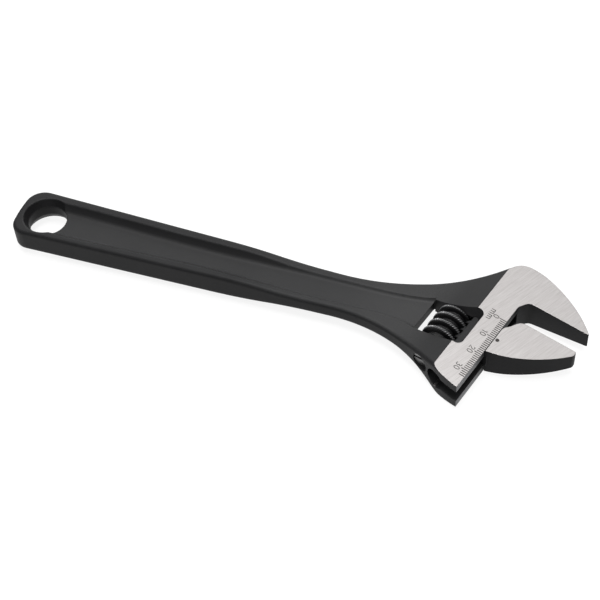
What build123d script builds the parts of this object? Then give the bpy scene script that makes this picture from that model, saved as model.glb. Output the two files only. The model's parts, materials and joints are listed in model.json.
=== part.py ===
from build123d import *
import os
from math import atan2, cos, degrees, pi, radians, sin, tan

# Adjustable wrench, 250 mm class. Millimetres.
# Row frame: origin at the hang hole's centre in the mid-plane, +X along the handle to the jaws,
# +Z up out of the flat faces, +Y to the fixed jaw's side.
# Head frame: x is the jaw direction J (out to the tips), y is the travel direction S (up to the fixed
# jaw), origin on the head's front edge. It is turned 15 degrees from the handle.

# Head frame in the row frame
HEAD_X = 207.3
HEAD_Y = 2.4
HEAD_ANGLE = -15.0
HEAD = Location((HEAD_X, HEAD_Y, 0), (0, 0, HEAD_ANGLE))

# Handle
END_X = -13.5
END_BOW = 1.4
END_FAR_R = 8.4
END_NEAR_R = 7.0
FAR_Y_AT_HOLE = 13.7
FAR_TAPER = 0.0298
NEAR_Y_AT_HOLE = -12.45
NEAR_TAPER = 0.0213
HANDLE_HALF = 5.65
NECK_HALF = 3.5
WAIST_START_X = 84.0
WAIST_END_X = 128.0
FLARE_X = 134.0
OUTER_ROUND = 1.6

# Recess of the I-section
WEB_HALF = 2.3
RECESS_SLOPE = 0.85
RECESS_COVE = 2.4
RECESS_TOP = 6.6
RECESS_LIP_ROUND = 0.8

# Hang hole
HOLE_R = 8.5
HOLE_RIM_R = 10.4

# Head
SHOULDER_START = -38.0
GRIND_EDGE = -13.0
FACE_HALF_AT_FRONT = 6.54
FACE_TAPER = 0.0959
CROWN_R = 20.0
JAW_FACE = 14.0
JAW_LENGTH = 29.8
OPENING = 10.45

# Window for the worm, in the head frame
WINDOW_LEFT = -31.7
WINDOW_RIGHT = -10.3
WINDOW_BOTTOM = -20.9
WINDOW_TOP = -3.3
WINDOW_CORNER_R = 2.6
FLARE_Z = 3.9
FLARE_TOP_Z = 9.5
FLARE_SLOPE_S = 0.77
FLARE_SLOPE_J = 0.28

# Worm, pin and spring
WORM_J = -21.0
WORM_R = 7.4
WORM_ROOT_R = 5.2
WORM_PITCH = 4.3
WORM_CREST = 1.7
WORM_FLANK = 15.0
WORM_CREST_S = -7.98
WORM_END_GAP = 0.3
WORM_LOW_CHAMFER = 2.3
WORM_HIGH_CHAMFER = 0.6
PIN_R = 2.5
PIN_FIT = 0.06
PIN_HEAD_R = 3.9
PIN_TOP = 4.4
PIN_HEAD_TOP = -22.4
PIN_END = -30.3
PIN_SLOT = 1.2
SPRING_POCKET_R = 4.0
SPRING_POCKET_DEPTH = 6.0
SPRING_WIRE_R = 0.35
SPRING_COIL_R = 3.3
SPRING_TURNS = 4

# Sliding jaw
JAW_BACK = 0.3
SHANK_J = -11.6
SHANK_R = 4.45
SHANK_FIT = 0.1
SHANK_TOP = 8.0
SHANK_BOTTOM = -31.0
BORE_TOP = 18.6
WEB_THICKNESS = 5.5
SLOT_WIDTH = 6.1
SLOT_TOP = 9.0
RACK_TIP = -15.45
RACK_ROOT = -13.25
RACK_CLEARANCE = 0.4


def head_point(j, s):
    """A head-frame point in the row frame."""
    a = radians(HEAD_ANGLE)
    return (HEAD_X + j * cos(a) - s * sin(a), HEAD_Y + j * sin(a) + s * cos(a))


def head_direction(angle):
    """Direction in the row frame of a line at an angle in the head frame."""
    a = radians(HEAD_ANGLE + angle)
    return (cos(a), sin(a))


def far_side(x):
    """Point on the handle's far edge, the fixed jaw's side, at x."""
    return (x, FAR_Y_AT_HOLE - FAR_TAPER * x)


def near_side(x):
    """Point on the handle's near edge at x."""
    return (x, NEAR_Y_AT_HOLE + NEAR_TAPER * x)


def both_sides(solid):
    """A cutter and its mirror image below the mid-plane."""
    return solid + mirror(solid, about=Plane.XY)


def forging_outline():
    """Plan outline of the forging, with spare stock at the front of the head."""
    corner_x = END_X + END_BOW
    far_edge = Line(far_side(corner_x), far_side(FLARE_X))
    far_flare = TangentArc(far_edge @ 1, (164, 13.4), tangent=far_edge % 1)
    shoulder = TangentArc(far_flare @ 1, head_point(-11.5, 27.45), tangent=far_flare % 1)
    head_back = TangentArc(shoulder @ 1, head_point(-5.3, 30.45), tangent=shoulder % 1)
    crown = TangentArc(head_back @ 1, head_point(3.2, 29.45), tangent=head_back % 1)
    jaw_outside = TangentArc(crown @ 1, head_point(20.15, 22.0), tangent=crown % 1)
    jaw_tip = TangentArc(jaw_outside @ 1, head_point(31.2, 12.7), tangent=jaw_outside % 1)
    near_edge = Line(near_side(corner_x), near_side(FLARE_X))
    near_flare = Spline(near_edge @ 1, (150, -10.85), (165, -15.45), (176.3, -21.6), head_point(-13.0, -35.5),
                        tangents=[near_edge % 1, head_direction(-22.8)])
    lobe = TangentArc(near_flare @ 1, head_point(3.0, -39.2), tangent=near_flare % 1)
    front_stock = Line(lobe @ 1, jaw_tip @ 1)
    end = ThreePointArc(near_edge @ 0, (END_X, 0), far_edge @ 0)
    face = make_face([far_edge, far_flare, shoulder, head_back, crown, jaw_outside, jaw_tip, front_stock,
                      lobe, near_flare, near_edge, end])
    far_corner = face.vertices().sort_by_distance(far_edge @ 0)[0]
    face = fillet(far_corner, END_FAR_R)
    near_corner = face.vertices().sort_by_distance(near_edge @ 0)[0]
    return fillet(near_corner, END_NEAR_R)


def slab(upper_edges):
    """Solid between an upper profile line, drawn as (x, height), and its mirror image."""
    first = upper_edges[0] @ 0
    last = upper_edges[-1] @ 1
    lower_edges = [mirror(edge, about=Plane.XZ) for edge in upper_edges]
    ends = [Line(first, (first.X, -first.Y)), Line(last, (last.X, -last.Y))]
    profile = make_face(upper_edges + lower_edges + ends)
    return extrude(Plane.XZ * profile, 70, both=True)


def handle_slab():
    """Thickness of the handle: the full grip, then a waist at the neck."""
    run = WAIST_END_X - WAIST_START_X
    drop = HANDLE_HALF - NECK_HALF
    waist_r = (run ** 2 + drop ** 2) / (4 * drop)
    turn = degrees(2 * atan2(drop, run))
    grip = Line((END_X - 5, HANDLE_HALF), (WAIST_START_X, HANDLE_HALF))
    down = JernArc(start=grip @ 1, tangent=(1, 0), radius=waist_r, arc_size=-turn)
    level = JernArc(start=down @ 1, tangent=down % 1, radius=waist_r, arc_size=turn)
    neck = Line(level @ 1, (WAIST_END_X + 30, NECK_HALF))
    return slab([grip, down, level, neck])


def face_half(j):
    """Half thickness of the ground head at j."""
    return FACE_HALF_AT_FRONT - FACE_TAPER * j


def head_slab():
    """Thickness of the raw head: the neck, a hollow shoulder and a crown above the ground faces."""
    neck = Line((-72, NECK_HALF), (SHOULDER_START, NECK_HALF))
    shoulder = TangentArc(neck @ 1, (GRIND_EDGE, face_half(GRIND_EDGE)), tangent=(1, 0))
    rise = shoulder % 1
    turn = degrees(atan2(rise.Y, rise.X))
    crown = JernArc(start=shoulder @ 1, tangent=rise, radius=CROWN_R, arc_size=-turn)
    top = Line(crown @ 1, (40, (crown @ 1).Y))
    return slab([neck, shoulder, crown, top])


def ground_faces():
    """Space between the two ground faces of the head, which taper to the jaw tips."""
    back, front = -260, 45
    line = Line((back, face_half(back)), (front, face_half(front)))
    return slab([line])


def machined_front():
    """Everything that is cut from the head's front: the gap, the throat and the fixed jaw's face."""
    front = Line((0, -60), (0, 8.5))
    throat = Spline((0, 8.5), (1.0, 11.1), (4.7, JAW_FACE), tangents=[(0, 1), (1, 0)])
    face = Line(throat @ 1, (JAW_LENGTH - 0.7, JAW_FACE))
    tip = TangentArc(face @ 1, (JAW_LENGTH, JAW_FACE + 0.7), tangent=(1, 0))
    outside = Polyline(tip @ 1, (JAW_LENGTH, 30), (80, 30), (80, -60), (0, -60))
    return extrude(make_face([front, throat, face, tip, outside]), 15, both=True)


def outer_edges(solid):
    """Upper and lower edges of the forging's side, all the way round."""
    walls = [f for f in solid.faces() if abs(f.normal_at().Z) < 0.01]
    edges = []
    for wall in walls:
        edges += [e for e in wall.edges() if abs(e.center().Z) > 1.5]
    return edges


def forging():
    """Rounded forging of the handle and head, with its ground head faces."""
    raw = extrude(forging_outline(), 15, both=True) & (handle_slab() + HEAD * head_slab())
    raw = fillet(outer_edges(raw), OUTER_ROUND)
    return raw & HEAD * ground_faces()


def recess_outline(spread):
    """Plan outline of the I-section recess, spread to both sides by a distance."""
    end_j = WINDOW_LEFT + 0.5
    far_end = head_point(end_j, -3.3)
    near_end = head_point(end_j, -19.6)
    far = [(0, 6.6), (42, 5.6), (84, 4.6), (106, 4.9), (128, 5.2), (150, 5.1), (165, 5.6), far_end]
    near = [(0, -6.1), (42, -5.5), (84, -4.5), (106, -5.2), (128, -5.85), (150, -5.5), (163, -5.9), near_end]
    far_line = Spline(*[(x, y + spread) for x, y in far])
    near_line = Spline(*[(x, y - spread) for x, y in near])
    ends = [Line(far_line @ 0, near_line @ 0), Line(far_line @ 1, near_line @ 1)]
    return make_face([far_line, near_line] + ends)


def recess():
    """Cutter for the recess in both faces of the handle, with a coved floor."""
    depth = RECESS_TOP - WEB_HALF
    floor = Location((0, 0, WEB_HALF)) * recess_outline(0)
    top = Location((0, 0, RECESS_TOP)) * recess_outline(depth * RECESS_SLOPE)
    cutter = loft([floor, top], ruled=True)
    long_edges = cutter.edges().filter_by(lambda e: abs(e.center().Z - WEB_HALF) < 0.01 and e.length > 50)
    return both_sides(fillet(long_edges, RECESS_COVE))


def lip_edges(body, cutter):
    """Long edges where the recess meets the handle's faces, on both sides."""
    edges = []
    for edge in body.edges():
        middle = edge @ 0.5
        lengthwise = abs((edge @ 0).X - (edge @ 1).X) > 5.5
        above_floor = abs(middle.Z) > WEB_HALF + 1
        if lengthwise and above_floor and cutter.distance_to(Vertex(*middle)) < 0.01:
            edges.append(edge)
    return edges


def recessed_forging():
    """Forging with the I-section recess and its rounded lips."""
    cutter = recess()
    body = forging() - cutter
    return fillet(lip_edges(body, cutter), RECESS_LIP_ROUND)


def hang_hole():
    """Hang hole with a conical rim from the web up to the handle's end."""
    rise = HANDLE_HALF - WEB_HALF
    spread = (HOLE_RIM_R - HOLE_R) / rise
    over = 1.5
    rim = Cone(HOLE_R, HOLE_RIM_R + over * spread, rise + over, align=(Align.CENTER, Align.CENTER, Align.MIN))
    return Cylinder(HOLE_R, 30) + both_sides(Location((0, 0, WEB_HALF)) * rim)


def window_outline(z):
    """Window outline at a height: its far and front walls flare outwards above the straight part."""
    rise = max(z - FLARE_Z, 0)
    top = WINDOW_TOP + FLARE_SLOPE_S * rise
    right = WINDOW_RIGHT + FLARE_SLOPE_J * rise
    width = right - WINDOW_LEFT
    height = top - WINDOW_BOTTOM
    centre = ((right + WINDOW_LEFT) / 2, (top + WINDOW_BOTTOM) / 2, z)
    face = Rectangle(width, height)
    face = fillet(face.vertices().sort_by(Axis.X)[2:], WINDOW_CORNER_R)
    return Location(centre) * face


def window():
    """Cutter for the worm's window, in the head frame."""
    straight = extrude(window_outline(0), 15, both=True)
    flare = loft([window_outline(FLARE_Z), window_outline(FLARE_TOP_Z)], ruled=True)
    return straight + both_sides(flare)


def rod_along_s(j, radius, low, high):
    """Cylinder along the travel direction in the head frame."""
    length = high - low
    return Location((j, (low + high) / 2, 0), (90, 0, 0)) * Cylinder(radius, length)


def head_bores():
    """Keyhole for the jaw's shank and stepped hole for the worm's pin, in the head frame."""
    bore = rod_along_s(SHANK_J, SHANK_R + SHANK_FIT, -60, BORE_TOP)
    slot_length = SLOT_TOP + 60
    slot = Location((SHANK_J / 2 + 2.5, SLOT_TOP - slot_length / 2, 0))
    slot *= Box(5 - SHANK_J, slot_length, SLOT_WIDTH)
    pin_hole = rod_along_s(WORM_J, PIN_R, -60, PIN_TOP + 0.3)
    head_hole = rod_along_s(WORM_J, PIN_HEAD_R, -60, PIN_HEAD_TOP)
    return bore + slot + pin_hole + head_hole


def wrench_body():
    """Forged handle, head and fixed jaw."""
    body = recessed_forging() - hang_hole()
    cuts = machined_front() + window() + head_bores()
    return body - HEAD * cuts


def jaw_outline(gap):
    """Plan outline of the sliding jaw in the head frame, at an opening."""
    face_s = JAW_FACE - gap
    low = TangentArc((JAW_BACK, face_s - 20.95), (12, face_s - 16.75), tangent=(1, 0.2))
    outside = TangentArc(low @ 1, (JAW_LENGTH - 0.3, face_s - 2.65), tangent=low % 1)
    tip = Polyline(outside @ 1, (JAW_LENGTH, face_s - 1.9), (JAW_LENGTH, face_s - 0.4),
                   (JAW_LENGTH - 0.4, face_s))
    face = Line(tip @ 1, (7.3, face_s))
    heel = Spline(face @ 1, (4.0, face_s - 1.65), (2.0, face_s - 5.05), (JAW_BACK, face_s - 8.6),
                  tangents=[(-1, 0), (0, -1)])
    back = Line(heel @ 1, low @ 0)
    return make_face([low, outside, tip, face, heel, back])


def rack_grooves():
    """Cutters for the rack's tooth gaps, tilted by the worm's lead."""
    lead = degrees(atan2(WORM_PITCH, 2 * pi * (WORM_R + WORM_ROOT_R) / 2))
    crest = WORM_CREST + 2 * RACK_CLEARANCE
    depth = RACK_ROOT - RACK_TIP + 1.2
    mouth = crest + 2 * depth * tan(radians(WORM_FLANK))
    gap = make_face(Polyline((RACK_ROOT, crest / 2), (RACK_ROOT - depth, mouth / 2),
                             (RACK_ROOT - depth, -mouth / 2), (RACK_ROOT, -crest / 2), close=True))
    groove = Rotation(lead, 0, 0) * extrude(gap, 8, both=True)
    first = int((SHANK_BOTTOM - WORM_CREST_S) / WORM_PITCH) - 1
    last = int((SHANK_TOP - WORM_CREST_S) / WORM_PITCH) + 1
    return [Location((0, WORM_CREST_S + k * WORM_PITCH, 0)) * groove for k in range(first, last + 1)]


def sliding_jaw():
    """Movable jaw with its web, round shank and rack, in the row frame."""
    jaw = extrude(jaw_outline(OPENING), 12, both=True) & ground_faces()
    shank = rod_along_s(SHANK_J, SHANK_R, SHANK_BOTTOM, SHANK_TOP)
    shank = chamfer(shank.edges(), 0.6)
    shank -= Location((RACK_TIP - 5, 0, 0)) * Box(10, 200, 20)
    for groove in rack_grooves():
        shank -= groove
    web_length = 13.0
    web = Location(((SHANK_J + 1) / 2, -17.4 + web_length / 2, 0))
    web *= Box(1 - SHANK_J, web_length, WEB_THICKNESS)
    return HEAD * (jaw + web + shank)


def worm_blank(length):
    """Cylinder over the worm's thread, whose ends are chamfered down past the crests."""
    spare = 1.0
    blank = Cylinder(WORM_R + spare, length)
    low_edge = blank.edges().filter_by(GeomType.CIRCLE).sort_by(Axis.Z)[0]
    blank = chamfer(low_edge, WORM_LOW_CHAMFER + spare)
    high_edge = blank.edges().filter_by(GeomType.CIRCLE).sort_by(Axis.Z)[-1]
    return chamfer(high_edge, WORM_HIGH_CHAMFER + spare)


def worm_knurl():
    """Adjusting worm: a right-handed thread on a bored core, with a pocket for the spring."""
    low = WINDOW_BOTTOM + WORM_END_GAP
    high = WINDOW_TOP - WORM_END_GAP
    turns = 6
    start = WORM_CREST_S - 4 * WORM_PITCH
    height = turns * WORM_PITCH
    helix = Helix(pitch=WORM_PITCH, height=height, radius=WORM_ROOT_R)
    root_r = WORM_ROOT_R - 0.4
    root = WORM_CREST / 2 + (WORM_R - root_r) * tan(radians(WORM_FLANK))
    tooth = make_face(Polyline((root_r, root), (WORM_R, WORM_CREST / 2), (WORM_R, -WORM_CREST / 2),
                               (root_r, -root), close=True))
    thread = sweep(Plane.XZ * tooth, path=helix, is_frenet=True)
    core = Location((0, 0, height / 2)) * Cylinder(WORM_ROOT_R, height + 6)
    worm = (core + thread) & Location((0, 0, (low + high) / 2 - start)) * worm_blank(high - low)
    worm -= Cylinder(PIN_R + PIN_FIT, 100)
    pocket_floor = high - start - SPRING_POCKET_DEPTH
    worm -= Location((0, 0, pocket_floor + 10)) * Cylinder(SPRING_POCKET_R, 20)
    return HEAD * Location((WORM_J, start, 0), (-90, 0, 0)) * worm


def worm_pin():
    """Pin that carries the worm, with a larger slotted end."""
    shaft = rod_along_s(WORM_J, PIN_R, PIN_END, PIN_TOP)
    head = rod_along_s(WORM_J, PIN_HEAD_R, PIN_END, PIN_HEAD_TOP)
    pin = shaft + head
    pin -= Location((WORM_J, PIN_END, 0)) * Box(20, 2.4, PIN_SLOT)
    return HEAD * chamfer(pin.edges().filter_by(GeomType.CIRCLE).group_by(Axis.Y)[-1], 0.4)


def worm_spring():
    """Compression spring on the pin, from the window's wall to the worm's pocket floor."""
    low = WINDOW_TOP - WORM_END_GAP - SPRING_POCKET_DEPTH + 0.3
    high = WINDOW_TOP
    wire = SPRING_WIRE_R
    height = high - low - 2 * wire
    helix = Helix(pitch=height / SPRING_TURNS, height=height, radius=SPRING_COIL_R)
    section = Plane(origin=helix @ 0, z_dir=helix % 0) * Circle(wire)
    coil = sweep(section, path=helix, is_frenet=True)
    return HEAD * Location((WORM_J, low + wire, 0), (-90, 0, 0)) * coil


if __name__ == "__main__":
    os.makedirs("parts", exist_ok=True)
    nodes = {
        "wrench_body": wrench_body,
        "sliding_jaw": sliding_jaw,
        "worm_knurl": worm_knurl,
        "worm_pin": worm_pin,
        "worm_spring": worm_spring,
    }
    for name, make in nodes.items():
        export_step(make(), f"parts/{name}.step")
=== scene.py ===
import json
from math import atan2, cos, pi, radians, sin, tan

import bmesh
import bpy
from mathutils import Matrix, Vector


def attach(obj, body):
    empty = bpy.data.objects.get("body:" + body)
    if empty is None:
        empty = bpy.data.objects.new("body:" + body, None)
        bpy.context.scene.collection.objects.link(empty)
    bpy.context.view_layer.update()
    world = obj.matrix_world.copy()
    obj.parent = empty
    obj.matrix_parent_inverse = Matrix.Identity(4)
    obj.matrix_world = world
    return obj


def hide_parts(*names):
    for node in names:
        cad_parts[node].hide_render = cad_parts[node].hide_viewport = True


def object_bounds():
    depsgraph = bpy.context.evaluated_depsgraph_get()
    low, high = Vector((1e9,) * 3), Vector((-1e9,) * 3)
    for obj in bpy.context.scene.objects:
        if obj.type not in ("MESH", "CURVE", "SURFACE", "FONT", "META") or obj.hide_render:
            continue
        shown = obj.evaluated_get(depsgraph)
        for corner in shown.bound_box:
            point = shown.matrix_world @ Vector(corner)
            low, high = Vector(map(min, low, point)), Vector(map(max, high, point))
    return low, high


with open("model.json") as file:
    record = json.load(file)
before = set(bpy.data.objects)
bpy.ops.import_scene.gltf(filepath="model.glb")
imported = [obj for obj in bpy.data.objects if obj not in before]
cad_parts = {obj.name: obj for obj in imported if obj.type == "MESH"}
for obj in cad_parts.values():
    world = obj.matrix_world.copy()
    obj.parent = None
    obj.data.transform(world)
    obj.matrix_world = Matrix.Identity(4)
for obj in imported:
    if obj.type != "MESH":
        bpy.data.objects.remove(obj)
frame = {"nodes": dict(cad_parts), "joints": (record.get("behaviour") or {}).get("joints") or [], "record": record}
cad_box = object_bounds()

MM = 0.001
UP = Vector((0, 0, 1))

# The head's own axes: OUT runs to the jaw tips and TRAVEL from the sliding jaw to the fixed jaw.
# Their origin is on the head's front edge, and names that end in J and S are places along the two axes.
FIXED_FACE_J = 17 * MM
FIXED_FACE_S = 14 * MM
record = frame["record"]
joints = {joint["name"]: joint for joint in frame["joints"]}
mounts = {mount["name"]: Vector(mount["pos_m"]) for mount in record["mounts"]}
TRAVEL = -Vector(joints["jaw_slide"]["axis"]).normalized()
OUT = TRAVEL.cross(UP)
HEAD = mounts["fixed_jaw_face"] - FIXED_FACE_J * OUT - FIXED_FACE_S * TRAVEL

# Where each finish, painted shade and painted sheen starts and ends
BODY_GRIND_J = -13.02 * MM
JAW_GRIND_J = 0.0
GRIND_FROM_Z = 3.3 * MM
GRIND_LEAN = radians(15)
FRONT_DEPTH = 0.4 * MM
THROAT_S = -16 * MM
THROAT_END_S = -26 * MM
GRIP_J = -80 * MM
NECK_J = -60 * MM
SHOULDER_J = -34 * MM
SHOULDER_END_J = -35 * MM
WEB_Z = 3.0 * MM
RAIL_Z = 5.5 * MM
FLAT_FACING = 0.985
FRONT_FACING = 0.98

# Edge rounding that the materials show
HEAD_EDGE_R = 0.25 * MM
HANDLE_EDGE_R = 1.3 * MM
TURNED_EDGE_R = 0.15 * MM
WORM_EDGE_R = 0.08 * MM

# Gloss, and colours as the darkest and lightest of each finish. The black comes as a painted-shade copy for the
# sides and a painted-light copy for faces that look up or down
BODY_GLOSS = 0.18
JAW_GLOSS = 0.12
WORM_GLOSS = 0.3
# Painted shade and painted light: one black, darker for the sides and lighter for the flats, as light falls on
# them
BLACK_SHADED_SIDES = (0.0025, 0.0025, 0.003, 1), (0.006, 0.006, 0.0066, 1)
BLACK_LIT_FLATS = (0.016, 0.016, 0.0165, 1), (0.026, 0.026, 0.0265, 1)
BLACK_GRAIN = (0.06, 0.06, 0.061, 1)
# Bare steel of worn edges, also a painted sheen on the machined front faces
BARE_STEEL_AND_SHEEN = (0.16, 0.16, 0.165, 1)
GROUND_STEEL = (0.235, 0.222, 0.218, 1), (0.32, 0.308, 0.304, 1)
GROUND_SCRATCH = (0.41, 0.4, 0.395, 1)
OILED_STEEL = (0.003, 0.003, 0.0035, 1), (0.009, 0.009, 0.0095, 1)
RUBBED_STEEL = (0.24, 0.24, 0.245, 1)
PIN_STEEL = (0.1, 0.1, 0.1, 1), (0.5, 0.5, 0.5, 1)
SPRING_STEEL = (0.08, 0.08, 0.08, 1), (0.45, 0.45, 0.45, 1)
BURNT_MARK = (0.006, 0.005, 0.0045, 1), (0.03, 0.023, 0.02, 1)
PAPER = (0.15, 0.15, 0.15, 1), (0.17, 0.17, 0.17, 1)

# Worm. Its hand is -1 for a right-handed thread, and CRESTS are enough turns to cover its length.
WORM_J = (Vector(joints["worm_spin"]["pos_m"]) - HEAD).dot(OUT)
WORM_LOW = -20.6 * MM
WORM_HIGH = -3.6 * MM
WORM_R = 7.38 * MM
WORM_ROOT_R = 5.2 * MM
WORM_BORE_R = 2.56 * MM
WORM_POCKET_R = 4.0 * MM
WORM_POCKET_DEPTH = 6.0 * MM
WORM_PITCH = 4.3 * MM
WORM_CREST = 1.7 * MM
WORM_FLANK = tan(radians(15))
WORM_CREST_S = -7.98 * MM
WORM_HAND = -1
WORM_TOP_EDGE = 0.6 * MM
RUBBED_DEPTH = 0.5 * MM
WORM_END_CHAMFER = 1.3 * MM
CRESTS = range(-6, 4)
SERRATIONS = 40
SERRATION_DEPTH = 0.36 * MM
SERRATION_SLANT = 0.6
STEPS_PER_SERRATION = 6
SHARP_ANGLE = radians(38)

# Scale and marks
TICK_STROKE = 0.4 * MM
DIGIT_STROKE = 0.3 * MM
MARK_LIFT = 0.012 * MM
MARK_DEPTH = 0.08 * MM
SCALE_TICKS = 34
TICK_EDGE_J = -0.12 * MM
TICK_LENGTH = 2.4 * MM
LONG_TICK_LENGTH = 3.1 * MM
DIGIT_HEIGHT = 2.45 * MM
DIGIT_GAP = 0.6 * MM
UNIT_HEIGHT = 2.0 * MM
UNIT_J = -7.2 * MM
UNIT_S = -0.3 * MM
DIGIT_J = -4.8 * MM
DOT_J = 1.5 * MM
DOT_S = -10.1 * MM
DOT_R = 0.82 * MM
DOT_SIDES = 32

# Mesh clean-up, in metres
MERGE_DISTANCE = 1e-6
SHORTEST_EDGE = 1e-7

# Lights: name, place, size and power. All of them point at the object's middle.
MIDDLE = (0.13, 0, 0)
SOFT_BOXES = [
    ("far_wall", (-0.15, 1.1, 1.05), 2.2, 24),
    ("overhead", (0.1, 0.05, 1.3), 0.6, 14),
    ("front_fill", (0.3, -1.0, 0.9), 1.5, 5),
]
WORLD_LIGHT = 0.2
FLOOR_GLOW = 0.86
FLOOR_HALF = 3.0

# Camera, in the row frame
CAMERA_AT = Vector((272.6, -355.9, 445.7)) * MM
CAMERA_AIM = Vector((121.6, -7.2, 0)) * MM
CAMERA_ROLL = radians(-4.2)
CAMERA_LENS = 84.0


def head_point(j, s):
    """A point of the mid-plane given in the head's axes, in the row frame."""
    return HEAD + j * OUT + s * TRAVEL


class Shader:
    """A material and its nodes, with a short call for each kind of node that the finishes use."""

    def __init__(self, name):
        self.material = bpy.data.materials.new(name)
        self.material.use_nodes = True
        self.tree = self.material.node_tree
        self.surface = self.tree.nodes["Principled BSDF"]
        self.place = self.add("ShaderNodeTexCoord").outputs["Object"]
        self.normal = self.add("ShaderNodeNewGeometry").outputs["True Normal"]

    def add(self, kind, **settings):
        node = self.tree.nodes.new(kind)
        for key, value in settings.items():
            setattr(node, key, value)
        return node

    def feed(self, socket, value):
        """Links a value that is a socket, or sets it."""
        if isinstance(value, bpy.types.NodeSocket):
            self.tree.links.new(value, socket)
        else:
            socket.default_value = value

    def math(self, operation, first, second=0.0):
        node = self.add("ShaderNodeMath", operation=operation)
        self.feed(node.inputs[0], first)
        self.feed(node.inputs[1], second)
        return node.outputs[0]

    def dot(self, vector, axis):
        node = self.add("ShaderNodeVectorMath", operation="DOT_PRODUCT")
        self.feed(node.inputs[0], vector)
        self.feed(node.inputs[1], axis)
        return node.outputs["Value"]

    def head_place(self):
        """The shaded point from the head's origin."""
        node = self.add("ShaderNodeVectorMath", operation="SUBTRACT")
        self.feed(node.inputs[0], self.place)
        self.feed(node.inputs[1], HEAD)
        return node.outputs["Vector"]

    def vector(self, x, y, z):
        node = self.add("ShaderNodeCombineXYZ")
        for socket, value in zip(node.inputs, (x, y, z)):
            self.feed(socket, value)
        return node.outputs[0]

    def noise(self, vector, scale, detail, roughness):
        node = self.add("ShaderNodeTexNoise")
        self.feed(node.inputs["Vector"], vector)
        node.inputs["Scale"].default_value = scale
        node.inputs["Detail"].default_value = detail
        node.inputs["Roughness"].default_value = roughness
        return node.outputs["Fac"]

    def remap(self, value, low, high, to_low, to_high, smooth=False):
        kind = "SMOOTHSTEP" if smooth else "LINEAR"
        node = self.add("ShaderNodeMapRange", interpolation_type=kind)
        for socket, entry in zip(node.inputs, (value, low, high, to_low, to_high)):
            self.feed(socket, entry)
        return node.outputs[0]

    def mix(self, factor, first, second, kind="RGBA"):
        """Between two colours, or two numbers with kind FLOAT."""
        node = self.add("ShaderNodeMix", data_type=kind)
        suffix = {"RGBA": "Color", "FLOAT": "Float"}[kind]
        inputs = {socket.identifier: socket for socket in node.inputs}
        outputs = {socket.identifier: socket for socket in node.outputs}
        self.feed(inputs["Factor_Float"], factor)
        self.feed(inputs["A_" + suffix], first)
        self.feed(inputs["B_" + suffix], second)
        return outputs["Result_" + suffix]

    def soft_edges(self, radius):
        node = self.add("ShaderNodeBevel", samples=6)
        self.feed(node.inputs["Radius"], radius)
        return node.outputs["Normal"]

    def bump(self, height, strength, distance, normal=None):
        node = self.add("ShaderNodeBump")
        node.inputs["Strength"].default_value = strength
        node.inputs["Distance"].default_value = distance
        self.feed(node.inputs["Height"], height)
        if normal is not None:
            self.feed(node.inputs["Normal"], normal)
        return node.outputs["Normal"]

    def edge_mask(self, soft_normal):
        """1 on sharp edges and 0 on flat stretches."""
        return self.remap(self.dot(soft_normal, self.normal), 0.995, 0.9, 0.0, 1.0)

    def finish(self, colour, metallic, roughness, normal):
        self.feed(self.surface.inputs["Base Color"], colour)
        self.feed(self.surface.inputs["Metallic"], metallic)
        self.feed(self.surface.inputs["Roughness"], roughness)
        self.feed(self.surface.inputs["Normal"], normal)
        return self.material


def black_finish(shader, soft_normal):
    """Colour, roughness and grain height of black phosphated steel, with painted light: greyer where it faces up
    or down and darker on its sides, as light falls, plus painted shade towards the rims' tops and towards the
    grip.
    """
    cloud = shader.noise(shader.place, 55.0, 4.0, 0.6)
    grain = shader.noise(shader.place, 2600.0, 2.0, 0.6)
    sides = shader.mix(cloud, *BLACK_SHADED_SIDES)
    lit_flats = shader.mix(cloud, *BLACK_LIT_FLATS)
    lit_flats = shader.mix(shader.remap(grain, 0.35, 0.75, 0.0, 0.35), lit_flats, BLACK_GRAIN)
    # Painted shade: towards the rims' tops the flats darken towards the sides' painted-shade colour
    height = shader.math("ABSOLUTE", shader.dot(shader.place, UP))
    lit_flats = shader.mix(shader.remap(height, WEB_Z, RAIL_Z, 0.0, 0.6, smooth=True), lit_flats, sides)
    # Painted shade: from the shoulder back to the grip the flats darken towards the sides' colour, standing in for
    # light that falls off along the handle
    reach = shader.dot(shader.head_place(), OUT)
    lit_flats = shader.mix(shader.remap(reach, GRIP_J, SHOULDER_END_J, 0.38, 0.0, smooth=True), lit_flats, sides)
    # Painted light and shade: faces that look up or down take the lighter copy and the sides take the darker copy,
    # as light falls on them
    lie = shader.math("ABSOLUTE", shader.dot(shader.normal, UP))
    colour = shader.mix(shader.remap(lie, 0.35, 0.85, 0.0, 1.0, smooth=True), sides, lit_flats)
    worn = shader.math("MULTIPLY", shader.edge_mask(soft_normal), shader.remap(cloud, 0.3, 0.7, 0.0, 0.3))
    colour = shader.mix(worn, colour, BARE_STEEL_AND_SHEEN)
    roughness = shader.remap(grain, 0.2, 0.8, 0.42, 0.6)
    return colour, roughness, grain


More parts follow.
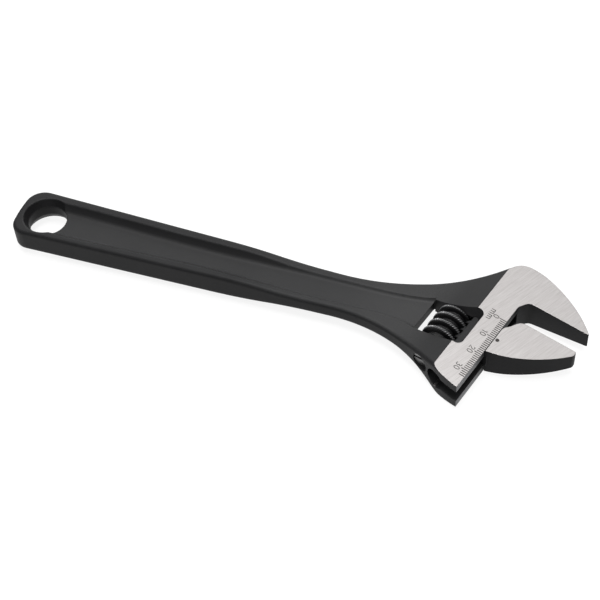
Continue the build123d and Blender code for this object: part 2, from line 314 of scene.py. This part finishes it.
def ground_finish(shader):
    """Colour, roughness and scratch height of a ground and satin polished face."""
    place = shader.head_place()
    along = shader.dot(place, TRAVEL * cos(GRIND_LEAN) + OUT * sin(GRIND_LEAN))
    across = shader.dot(place, OUT * cos(GRIND_LEAN) - TRAVEL * sin(GRIND_LEAN))
    height = shader.dot(place, UP)
    fine_across = shader.math("MULTIPLY", across, 9000.0)
    fine_along = shader.math("MULTIPLY", along, 160.0)
    scratch = shader.noise(shader.vector(fine_across, fine_along, height), 1.0, 3.0, 0.65)
    broad_across = shader.math("MULTIPLY", across, 1500.0)
    broad_along = shader.math("MULTIPLY", along, 45.0)
    band = shader.noise(shader.vector(broad_across, broad_along, height), 1.0, 4.0, 0.7)
    band = shader.remap(band, 0.3, 0.7, 0.0, 1.0)
    light = shader.mix(band, *GROUND_STEEL)
    colour = shader.mix(shader.remap(scratch, 0.35, 0.7, 0.0, 0.5), light, GROUND_SCRATCH)
    roughness = shader.remap(scratch, 0.25, 0.75, 0.3, 0.42)
    return colour, roughness, scratch


def head_steel(name, grind_edge, gloss):
    """Black forging whose two head faces are ground bright, and whose machined front faces are painted with a
    light grey sheen.
    """
    shader = Shader(name)
    place = shader.head_place()
    reach = shader.dot(place, OUT)
    soft_normal = shader.soft_edges(shader.remap(reach, NECK_J, SHOULDER_J, HANDLE_EDGE_R, HEAD_EDGE_R))
    black, black_roughness, grain = black_finish(shader, soft_normal)
    bright, bright_roughness, scratch = ground_finish(shader)
    flat = shader.math("GREATER_THAN", shader.math("ABSOLUTE", shader.dot(shader.normal, UP)), FLAT_FACING)
    on_head = shader.math("GREATER_THAN", reach, grind_edge)
    outside = shader.math("GREATER_THAN", shader.math("ABSOLUTE", shader.dot(place, UP)), GRIND_FROM_Z)
    ground = shader.math("MULTIPLY", shader.math("MULTIPLY", flat, on_head), outside)
    # Painted sheen: the machined front faces below the throat are black, but are painted bare-steel grey for the
    # light they catch
    faces_out = shader.math("GREATER_THAN", shader.dot(shader.normal, OUT), FRONT_FACING)
    at_front = shader.math("LESS_THAN", shader.math("ABSOLUTE", reach), FRONT_DEPTH)
    below_throat = shader.remap(shader.dot(place, TRAVEL), THROAT_S, THROAT_END_S, 0.0, 1.0, smooth=True)
    front = shader.math("MULTIPLY", shader.math("MULTIPLY", faces_out, at_front), below_throat)
    colour = shader.mix(front, black, BARE_STEEL_AND_SHEEN)
    colour = shader.mix(ground, colour, bright)
    roughness = shader.mix(ground, black_roughness, bright_roughness, "FLOAT")
    height = shader.mix(ground, grain, scratch, "FLOAT")
    normal = shader.bump(height, 0.12, 0.02 * MM, soft_normal)
    shader.surface.inputs["Specular IOR Level"].default_value = gloss
    return shader.finish(colour, ground, roughness, normal)


def oiled_steel(name):
    """Near-black oiled steel of the worm, with its crests rubbed brighter."""
    shader = Shader(name)
    soft_normal = shader.soft_edges(WORM_EDGE_R)
    cloud = shader.noise(shader.place, 160.0, 4.0, 0.6)
    grain = shader.noise(shader.place, 3200.0, 2.0, 0.6)
    colour = shader.mix(cloud, *OILED_STEEL)
    place = shader.head_place()
    from_axis_j = shader.math("SUBTRACT", shader.dot(place, OUT), WORM_J)
    from_axis = shader.vector(from_axis_j, shader.dot(place, UP), 0.0)
    radius = shader.math("SQRT", shader.dot(from_axis, from_axis))
    rubbed = shader.remap(radius, WORM_R - RUBBED_DEPTH, WORM_R, 0.0, 1.0, smooth=True)
    worn = shader.math("MULTIPLY", rubbed, shader.remap(cloud, 0.3, 0.7, 0.6, 1.0))
    colour = shader.mix(worn, colour, RUBBED_STEEL)
    roughness = shader.remap(grain, 0.2, 0.8, 0.3, 0.42)
    shader.surface.inputs["Specular IOR Level"].default_value = WORM_GLOSS
    return shader.finish(colour, worn, roughness, shader.bump(grain, 0.1, 0.01 * MM, soft_normal))


def turned_steel(name, dark, light):
    """Dull turned or drawn steel with fine rings along the travel direction."""
    shader = Shader(name)
    soft_normal = shader.soft_edges(TURNED_EDGE_R)
    along = shader.math("MULTIPLY", shader.dot(shader.head_place(), TRAVEL), 7000.0)
    ring = shader.noise(shader.vector(along, 0.0, 0.0), 1.0, 2.0, 0.6)
    stain = shader.noise(shader.place, 420.0, 4.0, 0.6)
    colour = shader.mix(shader.math("MULTIPLY", ring, stain), dark, light)
    roughness = shader.remap(stain, 0.3, 0.7, 0.32, 0.5)
    return shader.finish(colour, 0.9, roughness, shader.bump(ring, 0.2, 0.02 * MM, soft_normal))


def mark_ink(name):
    """Burnt brown-grey of a laser mark, uneven along its strokes."""
    shader = Shader(name)
    burn = shader.noise(shader.place, 3200.0, 3.0, 0.7)
    colour = shader.mix(burn, *BURNT_MARK)
    roughness = shader.remap(burn, 0.2, 0.8, 0.6, 0.9)
    return shader.finish(colour, 0.0, roughness, shader.bump(burn, 0.2, 0.01 * MM))


def pale_floor(name):
    """Plain pale paper with a glow that keeps it white."""
    shader = Shader(name)
    fibre = shader.noise(shader.place, 90.0, 3.0, 0.6)
    colour = shader.mix(fibre, *PAPER)
    shader.surface.inputs["Emission Color"].default_value = (1, 1, 1, 1)
    shader.surface.inputs["Emission Strength"].default_value = FLOOR_GLOW
    return shader.finish(colour, 0.0, 0.9, shader.bump(fibre, 0.02, 0.1 * MM))


def mesh_piece(name, verts, faces, material, body, smooth=False):
    """A mesh object in the row frame that rides on a body."""
    mesh = bpy.data.meshes.new(name)
    mesh.from_pydata([tuple(v) for v in verts], [], faces)
    tidy = bmesh.new()
    tidy.from_mesh(mesh)
    bmesh.ops.remove_doubles(tidy, verts=tidy.verts, dist=MERGE_DISTANCE)
    bmesh.ops.dissolve_degenerate(tidy, edges=tidy.edges, dist=SHORTEST_EDGE)
    bmesh.ops.recalc_face_normals(tidy, faces=tidy.faces)
    tidy.to_mesh(mesh)
    tidy.free()
    if smooth:
        mesh.shade_smooth()
    mesh.materials.append(material)
    piece = bpy.data.objects.new(name, mesh)
    bpy.context.scene.collection.objects.link(piece)
    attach(piece, body)
    return piece


def face_height(node, point):
    """Height of a CAD node's upper face over a point."""
    hit, place, _, _ = node.ray_cast(point + 50 * MM * UP, -UP)
    return place.z if hit else 0.0


def drape(node, j, s):
    """A point on the upper face of a CAD node."""
    point = head_point(j, s)
    point.z = face_height(node, point)
    return point


def ribbon(node, points, width):
    """Closed thin strip along a line of (j, s) points on a node's face: its vertices and faces."""
    sides = []
    for i, (j, s) in enumerate(points):
        before = points[max(i - 1, 0)]
        after = points[min(i + 1, len(points) - 1)]
        turn = atan2(after[1] - before[1], after[0] - before[0]) + pi / 2
        offset = (cos(turn) * width / 2, sin(turn) * width / 2)
        sides.append([drape(node, j + offset[0], s + offset[1]), drape(node, j - offset[0], s - offset[1])])
    verts = []
    for left, right in sides:
        for edge in (left, right):
            verts += [edge + MARK_LIFT * UP, edge - MARK_DEPTH * UP]
    faces = [(0, 1, 3, 2)]
    for i in range(len(points) - 1):
        a = 4 * i
        b = a + 4
        faces += [(a, a + 2, b + 2, b), (a + 1, b + 1, b + 3, a + 3)]
        faces += [(a, b, b + 1, a + 1), (a + 2, a + 3, b + 3, b + 2)]
    last = 4 * (len(points) - 1)
    faces.append((last, last + 2, last + 3, last + 1))
    return verts, faces


def arc(x, y, rx, ry, start, end, steps=14):
    """Points of an elliptical arc, in degrees."""
    angles = [radians(start + (end - start) * i / steps) for i in range(steps + 1)]
    return [(x + rx * cos(a), y + ry * sin(a)) for a in angles]


# Strokes of each character, 1 high, from its left foot
GLYPHS = {
    "0": (0.56, [arc(0.28, 0.5, 0.26, 0.48, 90, 450, 24)]),
    "1": (0.4, [[(0.08, 0.78), (0.3, 0.98), (0.3, 0.5), (0.3, 0.0)]]),
    "2": (0.56, [arc(0.28, 0.72, 0.25, 0.26, 165, -35) + [(0.03, 0.02), (0.54, 0.02)]]),
    "3": (0.56, [arc(0.26, 0.75, 0.22, 0.23, 150, -90), arc(0.26, 0.27, 0.26, 0.25, 90, -150)]),
    "m": (1.25, [[(0.06, 0.0), (0.06, 0.9)], arc(0.32, 0.62, 0.26, 0.26, 180, 0) + [(0.58, 0.0)],
                 arc(0.84, 0.62, 0.26, 0.26, 180, 0) + [(1.1, 0.0)]]),
}


def lettering(text, height, middle_j, middle_s):
    """Strokes of a text as (j, s) lines. It reads against the travel, with its top to the jaw tips."""
    widths = [GLYPHS[c][0] * height for c in text]
    length = sum(widths) + DIGIT_GAP * (len(text) - 1)
    s = middle_s + length / 2
    strokes = []
    for character, width in zip(text, widths):
        for stroke in GLYPHS[character][1]:
            strokes.append([(middle_j + (y - 0.5) * height, s - x * height) for x, y in stroke])
        s -= width + DIGIT_GAP
    return strokes


def scale_marks(material):
    """Millimetre scale on the head's upper face, from 0 to 33."""
    body = frame["nodes"]["wrench_body"]
    ticks = []
    characters = lettering("mm", UNIT_HEIGHT, UNIT_J, UNIT_S)
    for millimetre in range(SCALE_TICKS):
        long_tick = millimetre % 10 == 0
        length = LONG_TICK_LENGTH if long_tick else TICK_LENGTH
        s = -millimetre * MM
        ticks.append([(TICK_EDGE_J, s), (TICK_EDGE_J - length, s)])
        if long_tick:
            characters += lettering(str(millimetre), DIGIT_HEIGHT, DIGIT_J, s)
    strokes = [(stroke, TICK_STROKE) for stroke in ticks]
    strokes += [(stroke, DIGIT_STROKE) for stroke in characters]
    verts = []
    faces = []
    for stroke, width in strokes:
        new_verts, new_faces = ribbon(body, stroke, width)
        faces += [tuple(i + len(verts) for i in face) for face in new_faces]
        verts += new_verts
    mesh_piece("scale_marks", verts, faces, material, "body")


def index_dot(material):
    """Round index mark on the sliding jaw."""
    jaw = frame["nodes"]["sliding_jaw"]
    turns = [2 * pi * i / DOT_SIDES for i in range(DOT_SIDES)]
    rim = [(DOT_J + DOT_R * cos(turn), DOT_S + DOT_R * sin(turn)) for turn in turns]
    top = [drape(jaw, j, s) + MARK_LIFT * UP for j, s in rim]
    bottom = [p - (MARK_LIFT + MARK_DEPTH) * UP for p in top]
    faces = [tuple(range(DOT_SIDES)), tuple(range(2 * DOT_SIDES - 1, DOT_SIDES - 1, -1))]
    for i in range(DOT_SIDES):
        after = (i + 1) % DOT_SIDES
        faces.append((i, i + DOT_SIDES, after + DOT_SIDES, after))
    mesh_piece("index_dot", top + bottom, faces, material, "jaw")


def profile_radius(offset):
    """Thread radius at an offset from a crest's middle."""
    reach = abs((offset + WORM_PITCH / 2) % WORM_PITCH - WORM_PITCH / 2)
    flank = (reach - WORM_CREST / 2) / WORM_FLANK
    edge = max(0.0, reach - WORM_CREST / 2 + WORM_TOP_EDGE)
    return max(WORM_ROOT_R, WORM_R - max(edge ** 2 / WORM_TOP_EDGE, WORM_TOP_EDGE + flank))


def serration(turn, offset):
    """Depth of the slanted serrations in a crest."""
    reach = abs(offset) / (WORM_CREST / 2 + WORM_TOP_EDGE)
    slanted = turn + SERRATION_SLANT * offset / WORM_R
    wave = 0.5 - 0.5 * cos(SERRATIONS * slanted)
    return SERRATION_DEPTH * wave * max(0.0, 1 - reach ** 6)


def worm_outline(turn):
    """Points along the worm's surface at an angle, as (s, radius), from the low end to the high end."""
    half = WORM_CREST / 2
    foot = half + (WORM_R - WORM_TOP_EDGE - WORM_ROOT_R) * WORM_FLANK
    side = [half * 0.4, half - WORM_TOP_EDGE, half - WORM_TOP_EDGE / 2, half, (half + foot) / 2, foot]
    offsets = [-offset for offset in reversed(side)] + [0.0] + side
    points = []
    for k in CRESTS:
        middle = WORM_CREST_S + (WORM_HAND * turn / (2 * pi) + k) * WORM_PITCH
        for offset in offsets:
            s = min(max(middle + offset, WORM_LOW), WORM_HIGH)
            radius = profile_radius(s - middle) - serration(turn, s - middle)
            inset = min(s - WORM_LOW, WORM_HIGH - s)
            points.append((s, min(radius, WORM_R - max(0.0, WORM_END_CHAMFER - inset))))
    return points


def serrated_worm(material):
    """Worm with its serrated crests, bored for the pin and pocketed for the spring."""
    steps = SERRATIONS * STEPS_PER_SERRATION
    pocket_floor = WORM_HIGH - WORM_POCKET_DEPTH
    bore = [(WORM_HIGH, WORM_POCKET_R), (pocket_floor, WORM_POCKET_R), (pocket_floor, WORM_BORE_R),
            (WORM_LOW, WORM_BORE_R)]
    verts = []
    for i in range(steps + 1):
        turn = 2 * pi * i / steps
        spoke = OUT * cos(turn) + UP * sin(turn)
        outline = worm_outline(turn) + bore
        verts += [head_point(WORM_J, s) + radius * spoke for s, radius in outline]
    count = len(outline)
    faces = []
    for i in range(steps):
        here = i * count
        for k in range(count):
            after = (k + 1) % count
            faces.append((here + k, here + after, here + count + after, here + count + k))
    worm = mesh_piece("serrated_worm", verts, faces, material, "worm", smooth=True)
    worm.data.set_sharp_from_angle(angle=SHARP_ANGLE)
    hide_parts("worm_knurl")


def floor(material):
    """Pale floor that the object lies on."""
    low = cad_box[0][2]
    corners = [(-1, -1), (1, -1), (1, 1), (-1, 1)]
    verts = [(x * FLOOR_HALF, y * FLOOR_HALF, low) for x, y in corners]
    mesh = bpy.data.meshes.new("floor")
    mesh.from_pydata(verts, [], [(0, 1, 2, 3)])
    mesh.materials.append(material)
    piece = bpy.data.objects.new("floor", mesh)
    bpy.context.scene.collection.objects.link(piece)


def soft_box(name, place, size, power):
    """Large square area light that points at the object."""
    light = bpy.data.lights.new(name, "AREA")
    light.size = size
    light.energy = power
    lamp = bpy.data.objects.new(name, light)
    lamp.location = place
    lamp.rotation_euler = (Vector(MIDDLE) - Vector(place)).to_track_quat("-Z", "Y").to_euler()
    bpy.context.scene.collection.objects.link(lamp)


def studio():
    """World and soft boxes."""
    world = bpy.data.worlds.new("studio")
    world.use_nodes = True
    background = world.node_tree.nodes["Background"]
    background.inputs["Color"].default_value = (1, 1, 1, 1)
    background.inputs["Strength"].default_value = WORLD_LIGHT
    bpy.context.scene.world = world
    bpy.context.scene.view_settings.view_transform = "Standard"
    for name, place, size, power in SOFT_BOXES:
        soft_box(name, place, size, power)


def camera():
    """Camera at the viewing angle, with its small roll."""
    data = bpy.data.cameras.new("camera")
    data.lens = CAMERA_LENS
    data.sensor_width = 36
    data.clip_start = 0.01
    eye = bpy.data.objects.new("camera", data)
    aim = (CAMERA_AIM - CAMERA_AT).to_track_quat("-Z", "Y").to_matrix()
    turn = aim @ Matrix.Rotation(CAMERA_ROLL, 3, "Z")
    eye.matrix_world = Matrix.Translation(CAMERA_AT) @ turn.to_4x4()
    bpy.context.scene.collection.objects.link(eye)
    bpy.context.scene.camera = eye


def dress(node, material):
    """Gives a CAD node its finish."""
    mesh = frame["nodes"][node].data
    mesh.materials.clear()
    mesh.materials.append(material)


dress("wrench_body", head_steel("body_steel_with_painted_light", BODY_GRIND_J, BODY_GLOSS))
dress("sliding_jaw", head_steel("jaw_steel_with_painted_light", JAW_GRIND_J, JAW_GLOSS))
serrated_worm(oiled_steel("worm_steel_finish"))
dress("worm_pin", turned_steel("pin_steel_finish", *PIN_STEEL))
dress("worm_spring", turned_steel("spring_steel_finish", *SPRING_STEEL))
ink = mark_ink("laser_mark")
scale_marks(ink)
index_dot(ink)
floor(pale_floor("pale_paper"))
studio()
camera()
